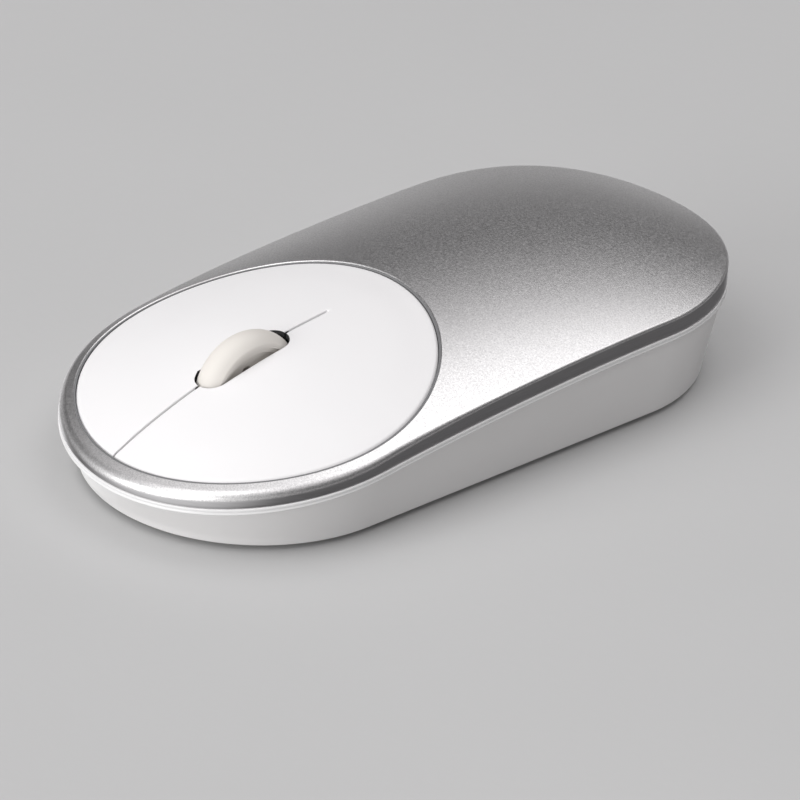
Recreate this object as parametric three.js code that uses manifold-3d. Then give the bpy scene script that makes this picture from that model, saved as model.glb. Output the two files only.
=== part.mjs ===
// Wireless computer mouse. Millimetres, +Z up, +Y to the button end, +X to the right-hand side.
// The origin is on the surface that the glide feet rest on, below the middle of the outline.
import * as THREE from 'three';
import { mergeVertices } from 'three/addons/utils/BufferGeometryUtils.js';
import Module from 'manifold-3d';

const wasm = await Module();
wasm.setup();

// Driving dimensions of the body
const LENGTH = 110.2;
const WIDTH = 55.8;
const COVER_INSET = 0.15;
const COVER_THICKNESS = 1.2;
const COVER_EDGE_THICKNESS = 1.0;
const SIDE_ROLL_RADIUS = 0.4;
const FRONT_ROLL_RADIUS = 1.0;
const BASE_BOTTOM = 0.8;
const FLOOR_TOP = 2.0;
const REVEAL_GAP = 0.06;
const LIP_HEIGHT = 0.95;
const WALL_TOP_DROP = 1.15;

// Driving dimensions of the round button plate and the scroll wheel in it
const OPENING_RADIUS = 25.7;
const OPENING_CHAMFER = 0.15;
const PLATE_RADIUS = 25.4;
const PLATE_THICKNESS = 1.5;
const PLATE_EDGE_ROUND = 0.5;
const PLATE_EDGE_DROP = 0.15;
const SLIT_WIDTH = 0.35;
const HINGE_Y = 13.6;
const HINGE_GAP = 0.3;
const SLOT_CENTRE_Y = 29.95;
const SLOT_LENGTH = 15.5;
const SLOT_WIDTH = 5.3;
const WHEEL_RADIUS = 8.6;
const WHEEL_HALF_WIDTH = 2.4;
const WHEEL_CROWN_RADIUS = 3.3;
const WHEEL_CLEARANCE = 0.35;
const WHEEL_Y = 29.1;
const WHEEL_Z = 12.6;
const BRACKET_PIVOT_Y = 17.4;
const BRACKET_PIVOT_Z = 12.8;

// Driving dimensions of what is inside
const BOARD_BOTTOM = 4.2;
const BOARD_TOP = 5.2;
const SEAT_GAP = 0.05;
const DECK_BOTTOM = 13.0;
const DECK_TOP = 14.0;
const CELL_RADIUS = 5.25;
const CELL_LENGTH = 44.5;
const CELL_X = 5.35;
const CELL_Z = FLOOR_TOP + 0.3 + CELL_RADIUS;
const BAY_FRONT = 3.0;
const BAY_REAR = -45.0;
const BAY_HALF_WIDTH = 11.0;
const BAY_WALL = 1.0;
const SWITCH_X = 11.5;
const SWITCH_Y = 37.5;
const SWITCH_HEIGHT = 5.0;
const PLUNGER_TOP = 10.95;
const MIDDLE_SWITCH_Y = 40.2;
const SENSOR_Y = 9.6;
const UNDERSIDE_CONTROL_X = 12.5;
const UNDERSIDE_CONTROL_Y = 10.5;
const DOOR_HALF_WIDTH = 10.7;
const DOOR_REAR = -44.4;
const DOOR_FRONT = 2.4;
const DOOR_GAP = 0.2;
const CASE_SCREW_PLACES = [[-17.5, -8], [17.5, -8], [-16.5, -36], [16.5, -36]];
const BOARD_SCREW_PLACES = [[-18.5, 27.2], [18.5, 27.2], [0, 46.3]];
const BRIDGE_SCREW_X = 10;
const BRIDGE_SCREW_Y = 7;

// Worked out from the driving dimensions
const HALF_WIDTH = WIDTH / 2;
const END_CENTRE = (LENGTH - WIDTH) / 2;
const ARC_STEPS = 20;
const SIDE_STEPS = 8;
const OUTLINE_STEPS = 2 * (ARC_STEPS + SIDE_STEPS);
const PLATE_STEPS = 48;
const DOME_SHARES = [0, 0.22, 0.45, 0.68, 0.84, 1];
const OVERLAP = 0.5;

const LOOKS = {
  silver: { color: 0xb9bbbd, roughness: 0.38, metalness: 0.9 },
  white: { color: 0xf1efee, roughness: 0.45, metalness: 0.0 },
  rubber: { color: 0xeae5de, roughness: 0.7, metalness: 0.0 },
  dark: { color: 0x2a2b2d, roughness: 0.5, metalness: 0.0 },
  board: { color: 0x1f5a35, roughness: 0.4, metalness: 0.0 },
  steel: { color: 0xa9abad, roughness: 0.3, metalness: 1.0 },
  clear: { color: 0xdfe6ea, roughness: 0.05, metalness: 0.0 },
  glide: { color: 0xd9d8d6, roughness: 0.55, metalness: 0.0 },
  cell: { color: 0x5f6d78, roughness: 0.35, metalness: 0.3 },
};

// Height of the domed top: a quartic spine along Y that falls away to both sides
function topHeight(x, y) {
  const along = y / 50;
  const spine = 21.43 - 2.83 * along - 4.26 * along ** 2 - 1.18 * along ** 3 - 2.3 * along ** 4;
  const fall = 5.3 + 0.78 * along - 1.95 * along ** 2;
  return spine - fall * (x / HALF_WIDTH) ** 2;
}

// Height of the line where the cover meets the lip, low at the button end
function partingHeight(y) {
  return 13.68 - 0.0716 * y - 0.001 * y ** 2;
}

// The cover's edge is rolled more at the button end than along the sides
function rollRadius(y) {
  const forward = THREE.MathUtils.smoothstep(y, 0, 45);
  return THREE.MathUtils.lerp(SIDE_ROLL_RADIUS, FRONT_ROLL_RADIUS, forward);
}

// Outline of the body, a rectangle with two half-round ends, moved inwards by inset
function outlinePoint(step, inset) {
  const radius = HALF_WIDTH - inset;
  const half = OUTLINE_STEPS / 2;
  const side = step < half ? 1 : -1;
  const local = step % half;
  if (local <= ARC_STEPS) {
    const angle = Math.PI * local / ARC_STEPS;
    return [side * radius * Math.cos(angle), side * (END_CENTRE + radius * Math.sin(angle))];
  }
  const travel = (local - ARC_STEPS) / SIDE_STEPS;
  return [-side * radius, side * END_CENTRE * (1 - 2 * travel)];
}

function outlineRing(inset, heightOf) {
  return Array.from({ length: OUTLINE_STEPS }, (_, step) => {
    const [x, y] = outlinePoint(step, inset);
    return new THREE.Vector3(x, y, heightOf(x, y));
  });
}

// Points round the plate opening, in step with the outline's points
function openingPoint(step, radius) {
  const rearSteps = OUTLINE_STEPS - ARC_STEPS;
  const turn = step <= ARC_STEPS ? step / ARC_STEPS : 1 + (step - ARC_STEPS) / rearSteps;
  return [radius * Math.cos(Math.PI * turn), END_CENTRE + radius * Math.sin(Math.PI * turn)];
}

// A ring between the outline, at share 0, and the plate opening, at share 1
function coverRing(inset, radius, share, heightOf) {
  return Array.from({ length: OUTLINE_STEPS }, (_, step) => {
    const [outerX, outerY] = outlinePoint(step, typeof inset === 'function' ? inset(step) : inset);
    const [innerX, innerY] = openingPoint(step, radius);
    const x = THREE.MathUtils.lerp(outerX, innerX, share);
    const y = THREE.MathUtils.lerp(outerY, innerY, share);
    return new THREE.Vector3(x, y, heightOf(x, y));
  });
}

function circleRing(radius, heightOf) {
  return Array.from({ length: PLATE_STEPS }, (_, step) => {
    const angle = 2 * Math.PI * step / PLATE_STEPS;
    const x = radius * Math.cos(angle);
    const y = END_CENTRE + radius * Math.sin(angle);
    return new THREE.Vector3(x, y, heightOf(x, y));
  });
}

// Joins rings of equal length into one closed skin. With two apexes its ends close on them,
// and without any the last ring joins the first one.
function skin(rings, apexes = []) {
  const count = rings[0].length;
  const points = [...rings.flat(), ...apexes];
  const faces = [];
  const spans = apexes.length ? rings.length - 1 : rings.length;
  for (let ring = 0; ring < spans; ring += 1) {
    const next = (ring + 1) % rings.length;
    for (let step = 0; step < count; step += 1) {
      const turn = (step + 1) % count;
      faces.push([ring * count + step, ring * count + turn, next * count + turn]);
      faces.push([ring * count + step, next * count + turn, next * count + step]);
    }
  }
  if (apexes.length) {
    const first = points.length - 2;
    const lastRing = (rings.length - 1) * count;
    for (let step = 0; step < count; step += 1) {
      const turn = (step + 1) % count;
      faces.push([first, turn, step]);
      faces.push([first + 1, lastRing + step, lastRing + turn]);
    }
  }
  const volume = faces.reduce((sum, [a, b, c]) => (
    sum + points[a].dot(new THREE.Vector3().crossVectors(points[b], points[c]))), 0);
  const outward = volume > 0 ? faces : faces.map(([a, b, c]) => [a, c, b]);
  const geometry = new THREE.BufferGeometry().setFromPoints(points);
  geometry.setIndex(outward.flat());
  return geometry;
}

// A closed three.js geometry as a manifold-3d solid
function solid(geometry) {
  const bare = geometry.clone();
  bare.deleteAttribute('normal');
  bare.deleteAttribute('uv');
  const merged = mergeVertices(bare, 1e-4);
  return new wasm.Manifold(new wasm.Mesh({
    numProp: 3,
    vertProperties: Float32Array.from(merged.attributes.position.array),
    triVerts: Uint32Array.from(merged.index.array),
  }));
}

function geometryOf(body) {
  const { vertProperties, triVerts } = body.getMesh();
  const geometry = new THREE.BufferGeometry();
  geometry.setAttribute('position', new THREE.BufferAttribute(vertProperties, 3));
  geometry.setIndex(new THREE.BufferAttribute(triVerts, 1));
  geometry.computeVertexNormals();
  return geometry;
}

function block(x0, x1, y0, y1, z0, z1) {
  const geometry = new THREE.BoxGeometry(x1 - x0, y1 - y0, z1 - z0);
  return solid(geometry.translate((x0 + x1) / 2, (y0 + y1) / 2, (z0 + z1) / 2));
}

function post(x, y, z0, z1, radius, sides = 20) {
  const geometry = new THREE.CylinderGeometry(radius, radius, z1 - z0, sides);
  return solid(geometry.rotateX(Math.PI / 2).translate(x, y, (z0 + z1) / 2));
}

function rod(x0, x1, y, z, radius, sides = 16) {
  const geometry = new THREE.CylinderGeometry(radius, radius, x1 - x0, sides);
  return solid(geometry.rotateZ(Math.PI / 2).translate((x0 + x1) / 2, y, z));
}

function slab(shape, z0, z1, curveSegments = 6) {
  const options = { depth: z1 - z0, bevelEnabled: false, curveSegments };
  return solid(new THREE.ExtrudeGeometry(shape, options).translate(0, 0, z0));
}

function roundedRectangle(x0, x1, y0, y1, radius) {
  const shape = new THREE.Shape();
  shape.absarc(x1 - radius, y0 + radius, radius, -Math.PI / 2, 0);
  shape.absarc(x1 - radius, y1 - radius, radius, 0, Math.PI / 2);
  shape.absarc(x0 + radius, y1 - radius, radius, Math.PI / 2, Math.PI);
  shape.absarc(x0 + radius, y0 + radius, radius, Math.PI, 1.5 * Math.PI);
  shape.closePath();
  return shape;
}

// Height functions
const aboveParting = (rise) => (x, y) => partingHeight(y) + rise;
const belowTop = (drop) => (x, y) => topHeight(x, y) - drop;
const level = (z) => () => z;

// A profile of [radius, x] points turned about the wheel's own axle line
function turnedX(profile, sides) {
  return new THREE.LatheGeometry(profile.map(([r, x]) => new THREE.Vector2(r, x)), sides)
    .rotateZ(-Math.PI / 2).translate(0, WHEEL_Y, WHEEL_Z);
}

// The crowned running surface of the wheel as [radius, x] points, grown by a clearance
function wheelProfile(halfWidth, clearance, steps = 6) {
  return Array.from({ length: steps + 1 }, (_, step) => {
    const x = halfWidth * (2 * step / steps - 1);
    const sag = WHEEL_CROWN_RADIUS - Math.sqrt(WHEEL_CROWN_RADIUS ** 2 - x ** 2);
    return [WHEEL_RADIUS + clearance - sag, x];
  });
}

// The domed cover with its rolled edge, its side band and the chamfered round opening
function topCover() {
  const edgeDepth = (step, turn) => {
    const [, y] = outlinePoint(step, COVER_INSET);
    return COVER_INSET + rollRadius(y) * (1 - Math.cos(turn));
  };
  const rollRing = (turn) => coverRing((step) => edgeDepth(step, turn), OPENING_RADIUS, 0,
    (x, y) => topHeight(x, y) - rollRadius(y) * (1 - Math.sin(turn)));
  const fullTurn = Math.PI / 2;
  const rim = OPENING_RADIUS + OPENING_CHAMFER;
  const across = (share) => coverRing((step) => edgeDepth(step, fullTurn), rim, share, topHeight);
  const inside = COVER_INSET + COVER_EDGE_THICKNESS;
  const lining = (share) => coverRing(inside, OPENING_RADIUS, share, belowTop(COVER_THICKNESS));
  const foot = aboveParting(REVEAL_GAP / 2);
  return skin([
    outlineRing(COVER_INSET, foot),
    rollRing(0),
    rollRing(fullTurn / 3),
    rollRing(fullTurn * 2 / 3),
    ...DOME_SHARES.map(across),
    coverRing(0, OPENING_RADIUS, 1, belowTop(OPENING_CHAMFER)),
    lining(1),
    lining(0.5),
    lining(0),
    outlineRing(inside, foot),
  ]);
}

// The whole round button plate before it is split: its edge sits a little low and is rounded
function buttonPlate() {
  const edge = PLATE_RADIUS;
  const under = belowTop(PLATE_THICKNESS);
  const middle = new THREE.Vector3(0, END_CENTRE, topHeight(0, END_CENTRE));
  const middleBelow = middle.clone().setZ(middle.z - PLATE_THICKNESS);
  const plate = skin([
    circleRing(9, topHeight),
    circleRing(18, topHeight),
    circleRing(edge - PLATE_EDGE_ROUND, belowTop(PLATE_EDGE_DROP)),
    circleRing(edge, belowTop(PLATE_EDGE_DROP + PLATE_EDGE_ROUND)),
    circleRing(edge, under),
    circleRing(18, under),
    circleRing(9, under),
  ], [middle, middleBelow]);
  const slot = roundedRectangle(-SLOT_WIDTH / 2, SLOT_WIDTH / 2, SLOT_CENTRE_Y - SLOT_LENGTH / 2,
    SLOT_CENTRE_Y + SLOT_LENGTH / 2, SLOT_WIDTH / 2 - 0.01);
  const wheelRoom = wheelProfile(SLOT_WIDTH / 2, WHEEL_CLEARANCE);
  const roomSolid = solid(turnedX([[0, -SLOT_WIDTH / 2], ...wheelRoom, [0, SLOT_WIDTH / 2]], 40));
  return solid(plate).subtract(slab(slot, 0, 30)).subtract(roomSolid);
}

// One main button: its half of the plate and the rib that pushes its switch
function mainButton(side) {
  const inner = SLIT_WIDTH / 2;
  const half = side < 0 ? block(-30, -inner, HINGE_Y, 60, 0, 30) : block(inner, 30, HINGE_Y, 60, 0, 30);
  const x = side * SWITCH_X;
  const root = topHeight(x, SWITCH_Y) - PLATE_THICKNESS + OVERLAP;
  const rib = block(x - 1.4, x + 1.4, SWITCH_Y - 1.2, SWITCH_Y + 1.2, PLUNGER_TOP + 0.1, root);
  return geometryOf(buttonPlate().intersect(half).add(rib));
}

// The rear of the plate, which stays still, with the two bosses that stand on the deck
function buttonBridge() {
  let bridge = buttonPlate().intersect(block(-30, 30, -10, HINGE_Y - HINGE_GAP, 0, 30));
  for (const side of [-1, 1]) {
    const x = side * BRIDGE_SCREW_X;
    const root = topHeight(x, BRIDGE_SCREW_Y) - PLATE_THICKNESS + OVERLAP;
    bridge = bridge.add(post(x, BRIDGE_SCREW_Y, DECK_TOP + SEAT_GAP, root, 2.2));
    bridge = bridge.subtract(post(x, BRIDGE_SCREW_Y, DECK_TOP - 1, DECK_TOP + 3.4, 0.9, 12));
  }
  return geometryOf(bridge);
}

// The ring with the visible lip, and the deck with the screw posts behind the buttons
function midFrame() {
  const section = [
    [3.2, -2.1], [3.2, -0.2], [2.3, -0.2], [2.3, 0.5], [1.45, 0.5], [1.45, -REVEAL_GAP / 2],
    [0.12, -REVEAL_GAP / 2], [0, -0.15], [0, 0.12 - LIP_HEIGHT], [0.12, -LIP_HEIGHT],
    [2.35, -LIP_HEIGHT], [2.35, -2.1],
  ];
  const ring = solid(skin(section.map(([inset, rise]) => outlineRing(inset, aboveParting(rise)))));
  const levels = [DECK_BOTTOM, DECK_TOP];
  const centres = levels.map((z) => new THREE.Vector3(0, 0, z));
  const sheet = solid(skin(levels.map((z) => outlineRing(3.0, level(z))), centres));
  let frame = ring.add(sheet.intersect(block(-40, 40, -70, 10, 0, 30)));
  for (const [x, y] of CASE_SCREW_PLACES) {
    frame = frame.add(post(x, y, 6.1, DECK_BOTTOM + 0.2, 2.4));
    frame = frame.subtract(post(x, y, 5, 12, 0.95, 12));
  }
  for (const side of [-1, 1]) {
    frame = frame.subtract(post(side * BRIDGE_SCREW_X, BRIDGE_SCREW_Y, 12, 15, 1.0, 12));
  }
  return geometryOf(frame);
}

// The tapered tub: floor, side wall, screw bosses, door opening and underside windows
function baseShell() {
  const floorMiddles = [BASE_BOTTOM, FLOOR_TOP].map((z) => new THREE.Vector3(0, 0, z));
  let shell = solid(skin([
    outlineRing(3.2, level(BASE_BOTTOM)),
    outlineRing(2.75, level(BASE_BOTTOM + 0.4)),
    outlineRing(0.5, aboveParting(-WALL_TOP_DROP)),
    outlineRing(1.6, aboveParting(-WALL_TOP_DROP)),
    outlineRing(4.0, level(FLOOR_TOP)),
  ], floorMiddles));
  for (const [x, y] of CASE_SCREW_PLACES) {
    shell = shell.add(post(x, y, FLOOR_TOP - OVERLAP, 6.0, 3.0));
    shell = shell.subtract(post(x, y, 0, 7, 1.1, 12)).subtract(post(x, y, 0, 2.6, 2.2));
  }
  for (const [x, y] of BOARD_SCREW_PLACES) {
    shell = shell.add(post(x, y, FLOOR_TOP - OVERLAP, BOARD_BOTTOM - SEAT_GAP, 2.2));
    shell = shell.subtract(post(x, y, 2.4, 5, 0.85, 12));
  }
  const doorEdge = DOOR_HALF_WIDTH + DOOR_GAP;
  const door = roundedRectangle(-doorEdge, doorEdge, DOOR_REAR - DOOR_GAP, DOOR_FRONT + DOOR_GAP, 2);
  const lensWindow = roundedRectangle(-4, 4, SENSOR_Y - 4.5, SENSOR_Y + 4.5, 2.5);
  const slideWindow = roundedRectangle(-UNDERSIDE_CONTROL_X - 1.7, -UNDERSIDE_CONTROL_X + 1.7,
    UNDERSIDE_CONTROL_Y - 3.5, UNDERSIDE_CONTROL_Y + 3.5, 0.8);
  for (const shape of [door, lensWindow, slideWindow]) {
    shell = shell.subtract(slab(shape, 0, 3, 4));
  }
  return geometryOf(shell.subtract(post(UNDERSIDE_CONTROL_X, UNDERSIDE_CONTROL_Y, 0, 3, 2.1)));
}

// The door over the cells, flush with the underside, with a thumb hollow at its latch end
function batteryDoor() {
  const outline = roundedRectangle(-DOOR_HALF_WIDTH, DOOR_HALF_WIDTH, DOOR_REAR, DOOR_FRONT, 1.8);
  const panel = slab(outline, BASE_BOTTOM, FLOOR_TOP, 4);
  const ballRadius = 6;
  const hollowDepth = 0.6;
  const hollow = new THREE.SphereGeometry(ballRadius, 20, 12).scale(1, 0.5, 1)
    .translate(0, DOOR_FRONT - 4.9, BASE_BOTTOM + hollowDepth - ballRadius);
  return geometryOf(panel.subtract(solid(hollow)));
}

// A crescent of slippery plastic near one end of the underside
function glideFoot(end, innerRadius, outerRadius, halfAngle) {
  const middle = end * Math.PI / 2;
  const shape = new THREE.Shape();
  shape.absarc(0, end * END_CENTRE, outerRadius, middle - halfAngle, middle + halfAngle, false);
  shape.absarc(0, end * END_CENTRE, innerRadius, middle + halfAngle, middle - halfAngle, true);
  shape.closePath();
  return geometryOf(slab(shape, 0, BASE_BOTTOM - SEAT_GAP, 14));
}

// The circuit board: half-round at the front, open below the wheel and the sensor
function circuitBoard() {
  const radius = 22.6;
  const shape = new THREE.Shape();
  shape.moveTo(-radius, 4.6);
  shape.lineTo(radius, 4.6);
  shape.absarc(0, END_CENTRE, radius, 0, Math.PI);
  shape.closePath();
  let board = slab(shape, BOARD_BOTTOM, BOARD_TOP, 20);
  board = board.intersect(block(-30, 30, 0, 48.8, 0, 10)).subtract(block(-3.6, 3.6, 22.5, 35.5, 0, 10));
  board = board.subtract(post(0, SENSOR_Y, 0, 10, 1.6, 12));
  for (const [x, y] of BOARD_SCREW_PLACES) {
    board = board.subtract(post(x, y, 0, 10, 1.0, 12));
  }
  return geometryOf(board);
}

function sensorLens() {
  const plate = block(-5.5, 5.5, SENSOR_Y - 5, SENSOR_Y + 5, FLOOR_TOP + 0.1, 3.2);
  return geometryOf(plate.add(post(0, SENSOR_Y, 3.0, BOARD_BOTTOM - 0.1, 2.2, 16)));
}

// A snap-action switch with a pocket for its plunger
function switchBody(x) {
  const body = block(x - 3.1, x + 3.1, SWITCH_Y - 4.2, SWITCH_Y + 4.2, BOARD_TOP + SEAT_GAP,
    BOARD_TOP + SWITCH_HEIGHT);
  return geometryOf(body.subtract(block(x - 0.9, x + 0.9, SWITCH_Y - 1.5, SWITCH_Y + 1.5, 9.0, 12)));
}

function switchPlunger(x) {
  return geometryOf(block(x - 0.8, x + 0.8, SWITCH_Y - 1.4, SWITCH_Y + 1.4, 9.5, PLUNGER_TOP));
}

function middleSwitchBody() {
  const body = block(-3, 3, MIDDLE_SWITCH_Y - 3, MIDDLE_SWITCH_Y + 3, BOARD_TOP + SEAT_GAP, 8.0);
  return geometryOf(body.subtract(post(0, MIDDLE_SWITCH_Y, 6.6, 9, 1.8)));
}

function middleSwitchPlunger() {
  return geometryOf(post(0, MIDDLE_SWITCH_Y, 7.4, 8.85, 1.7));
}

// The crowned rubber tyre, a ring round the hub
function wheelTyre() {
  const bore = 6.9;
  const shoulder = WHEEL_HALF_WIDTH - 0.2;
  const profile = [[bore, -shoulder], ...wheelProfile(WHEEL_HALF_WIDTH, 0), [bore, shoulder]];
  return geometryOf(solid(turnedX([...profile, profile[0]], 44)));
}

// The hub: a disc with a shallow recess on each side, light windows that count its turns, and a boss
function wheelHub() {
  const bore = 1.05;
  const half = [[bore, -3.3], [2.2, -3.3], [2.2, -1.9], [6.2, -1.9], [6.2, -2.2], [6.8, -2.2]];
  const mirrored = half.map(([r, x]) => [r, -x]).reverse();
  let hub = solid(turnedX([...half, ...mirrored, half[0]], 28));
  const windows = 8;
  for (let window = 0; window < windows; window += 1) {
    const angle = 2 * Math.PI * (window + 0.5) / windows;
    const y = WHEEL_Y + 4 * Math.cos(angle);
    hub = hub.subtract(rod(-3, 3, y, WHEEL_Z + 4 * Math.sin(angle), 0.75, 8));
  }
  return geometryOf(hub);
}

// The frame that carries the wheel and rocks down on the middle switch
function wheelBracket() {
  const side = new THREE.Shape();
  side.moveTo(15.6, 11.4);
  side.lineTo(31, 10.6);
  side.lineTo(38.8, 9.7);
  side.lineTo(40.8, 9.7);
  side.lineTo(40.8, 11.7);
  side.lineTo(31, 14.5);
  side.lineTo(17, 14.3);
  side.lineTo(15.6, 13.4);
  side.closePath();
  const arm = (x0) => {
    const geometry = new THREE.ExtrudeGeometry(side, { depth: 1.4, bevelEnabled: false });
    geometry.applyMatrix4(new THREE.Matrix4().makeBasis(new THREE.Vector3(0, 1, 0),
      new THREE.Vector3(0, 0, 1), new THREE.Vector3(1, 0, 0)));
    return solid(geometry.translate(x0, 0, 0));
  };
  return geometryOf(arm(-5).add(arm(3.6))
    .add(block(-4, 4, 39, 40.8, 9.7, 11.6))
    .add(block(-4, 4, 15.7, 17.4, 11.5, 13.3))
    .add(block(-1.5, 1.5, 39.4, 40.8, 9.0, 10))
    .add(rod(-7.8, -4.5, BRACKET_PIVOT_Y, BRACKET_PIVOT_Z, 0.9))
    .add(rod(4.5, 7.8, BRACKET_PIVOT_Y, BRACKET_PIVOT_Z, 0.9))
    .subtract(rod(-6, 6, WHEEL_Y, WHEEL_Z, 1.15)));
}

// The stand on the board whose two cheeks hold the bracket's pins
function wheelMount() {
  let stand = block(-8.6, 8.6, 14.4, 19.6, BOARD_TOP + SEAT_GAP, 6.3);
  stand = stand.add(block(-7.4, -6, 15.4, 19.4, 6, 14.8)).add(block(6, 7.4, 15.4, 19.4, 6, 14.8));
  return geometryOf(stand.subtract(rod(-9, 9, BRACKET_PIVOT_Y, BRACKET_PIVOT_Z, 1.05)));
}

// A light emitter or detector that looks through the hub's windows from one side
function opticalPart(side) {
  const inner = side * 5.8;
  const outer = side * 7.8;
  const body = block(Math.min(inner, outer), Math.max(inner, outer), WHEEL_Y - 1.8, WHEEL_Y + 1.8,
    BOARD_TOP + SEAT_GAP, 10);
  const bead = new THREE.SphereGeometry(0.9, 12, 8).translate(inner, WHEEL_Y, WHEEL_Z - 4);
  return geometryOf(body.add(solid(bead)));
}

// The slide switch: a flat body below the board, and the knob that passes through the floor
function powerSwitchBody() {
  const x = -UNDERSIDE_CONTROL_X;
  return geometryOf(block(x - 2.2, x + 2.2, UNDERSIDE_CONTROL_Y - 4.3, UNDERSIDE_CONTROL_Y + 4.3,
    3.0, BOARD_BOTTOM - SEAT_GAP));
}

function powerSwitchKnob() {
  const x = -UNDERSIDE_CONTROL_X;
  const y = UNDERSIDE_CONTROL_Y + 1.4;
  const grip = block(x - 1.4, x + 1.4, y - 1.7, y + 1.7, 1.0, 2.5);
  return geometryOf(grip.add(block(x - 2.1, x + 2.1, y - 2.6, y + 2.6, FLOOR_TOP + 0.1, 2.9)));
}

// The small button that pairs the radio, with the nib that reaches into its switch
function pairButton() {
  const cap = post(UNDERSIDE_CONTROL_X, UNDERSIDE_CONTROL_Y, 1.0, 2.3, 1.9);
  const flange = post(UNDERSIDE_CONTROL_X, UNDERSIDE_CONTROL_Y, FLOOR_TOP + 0.1, 2.6, 2.6);
  const nib = post(UNDERSIDE_CONTROL_X, UNDERSIDE_CONTROL_Y, 2.4, 3.3, 0.8, 12);
  return geometryOf(cap.add(flange).add(nib));
}

function pairSwitch() {
  const x = UNDERSIDE_CONTROL_X;
  const y = UNDERSIDE_CONTROL_Y;
  const body = block(x - 2.3, x + 2.3, y - 2.3, y + 2.3, 3.1, BOARD_BOTTOM - SEAT_GAP);
  return geometryOf(body.subtract(post(x, y, 2.9, 3.8, 1.0, 12)));
}

// The four walls round the two cells, notched in front for the contact tabs
function batteryBay() {
  const outer = block(-BAY_HALF_WIDTH - BAY_WALL, BAY_HALF_WIDTH + BAY_WALL, BAY_REAR - BAY_WALL,
    BAY_FRONT + BAY_WALL, FLOOR_TOP + SEAT_GAP, DECK_BOTTOM - SEAT_GAP);
  let bay = outer.subtract(block(-BAY_HALF_WIDTH, BAY_HALF_WIDTH, BAY_REAR, BAY_FRONT, 0, 20));
  for (const side of [-1, 1]) {
    bay = bay.subtract(block(side * 7 - 1.3, side * 7 + 1.3, 2, 5, 4.9, 6));
  }
  return geometryOf(bay);
}

// An AAA cell whose raised terminal points to +Y, from its flat end at the origin
function cell() {
  const body = CELL_LENGTH - 1;
  const profile = [[0, 0], [4.9, 0], [CELL_RADIUS, 0.3], [CELL_RADIUS, body - 0.3], [4.9, body],
    [1.9, body], [1.9, CELL_LENGTH], [0, CELL_LENGTH]];
  const points = profile.map(([r, y]) => new THREE.Vector2(r, y));
  return geometryOf(solid(new THREE.LatheGeometry(points, 28)));
}

// A front contact plate with the tab that is soldered to the board
function frontContact(side) {
  const x = side * 5.4;
  const plate = block(x - 4.1, x + 4.1, BAY_FRONT - 0.5, BAY_FRONT - 0.1, 3.2, 11.6);
  return geometryOf(plate.add(block(side * 7 - 1, side * 7 + 1, BAY_FRONT - 0.3, 6.6, 5.25, 5.6)));
}

function rearContact() {
  return geometryOf(block(-9.5, 9.5, BAY_REAR + 0.1, BAY_REAR + 0.5, 3.2, 11.6));
}

// A conical contact spring: widest at the plate, at the origin, and rising along +Y
class ConeSpringCurve extends THREE.Curve {
  getPoint(t, target = new THREE.Vector3()) {
    const turns = 2.5;
    const radius = THREE.MathUtils.lerp(3.3, 1.6, t);
    const angle = 2 * Math.PI * turns * t;
    return target.set(radius * Math.cos(angle), THREE.MathUtils.lerp(0.3, 1.95, t), radius * Math.sin(angle));
  }
}

function contactSpring() {
  const wire = new THREE.Shape().absarc(0, 0, 0.22, 0, 2 * Math.PI);
  const options = { steps: 32, curveSegments: 3, bevelEnabled: false, extrudePath: new ConeSpringCurve() };
  return geometryOf(solid(new THREE.ExtrudeGeometry(wire, options)));
}

// A pan-head screw whose shank points to +Z, from the top of its head at the origin
function screw(headRadius, headHeight, shankRadius, length) {
  const profile = [[0, 0], [headRadius * 0.8, 0], [headRadius, headHeight * 0.35],
    [headRadius, headHeight], [shankRadius, headHeight], [shankRadius, length - 0.6], [0, length]];
  const points = profile.map(([r, z]) => new THREE.Vector2(r, z));
  const body = solid(new THREE.LatheGeometry(points, 12).rotateX(Math.PI / 2));
  const long = headRadius * 0.55;
  const deep = headHeight * 0.5;
  const cross = block(-long, long, -0.25, 0.25, -1, deep).add(block(-0.25, 0.25, -long, long, -1, deep));
  return geometryOf(body.subtract(cross));
}

const mouse = new THREE.Group();

function add(name, geometry, look, parent = mouse) {
  const mesh = new THREE.Mesh(geometry, new THREE.MeshStandardMaterial(LOOKS[look]));
  mesh.name = name;
  parent.add(mesh);
  return mesh;
}

add('top_cover', topCover(), 'silver');
add('left_button', mainButton(-1), 'white');
add('right_button', mainButton(1), 'white');
add('button_bridge', buttonBridge(), 'white');
add('mid_frame', midFrame(), 'white');
add('base_shell', baseShell(), 'white');
add('battery_door', batteryDoor(), 'white');
add('front_foot', glideFoot(1, 18, 22.5, 0.75), 'glide');
add('rear_foot', glideFoot(-1, 20.8, 23.8, 0.6), 'glide');

add('circuit_board', circuitBoard(), 'board');
add('sensor_chip', geometryOf(block(-4, 4, SENSOR_Y - 4, SENSOR_Y + 4, BOARD_TOP + SEAT_GAP, 7.4)), 'dark');
add('sensor_lens', sensorLens(), 'clear');
add('radio_chip', geometryOf(block(-16.5, -11.5, 18.5, 23.5, BOARD_TOP + SEAT_GAP, 6.1)), 'dark');
add('crystal', geometryOf(slab(roundedRectangle(-16, -12, 26.5, 29.5, 1), BOARD_TOP + SEAT_GAP, 6.6, 4)), 'steel');
add('capacitor', geometryOf(post(14, 22, BOARD_TOP + SEAT_GAP, 9.6, 2)), 'steel');

for (const [side, x] of [['left', -SWITCH_X], ['right', SWITCH_X]]) {
  add(`${side}_switch_body`, switchBody(x), 'dark');
  add(`${side}_switch_plunger`, switchPlunger(x), 'white');
}
add('middle_switch_body', middleSwitchBody(), 'dark');
add('middle_switch_plunger', middleSwitchPlunger(), 'white');

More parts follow.
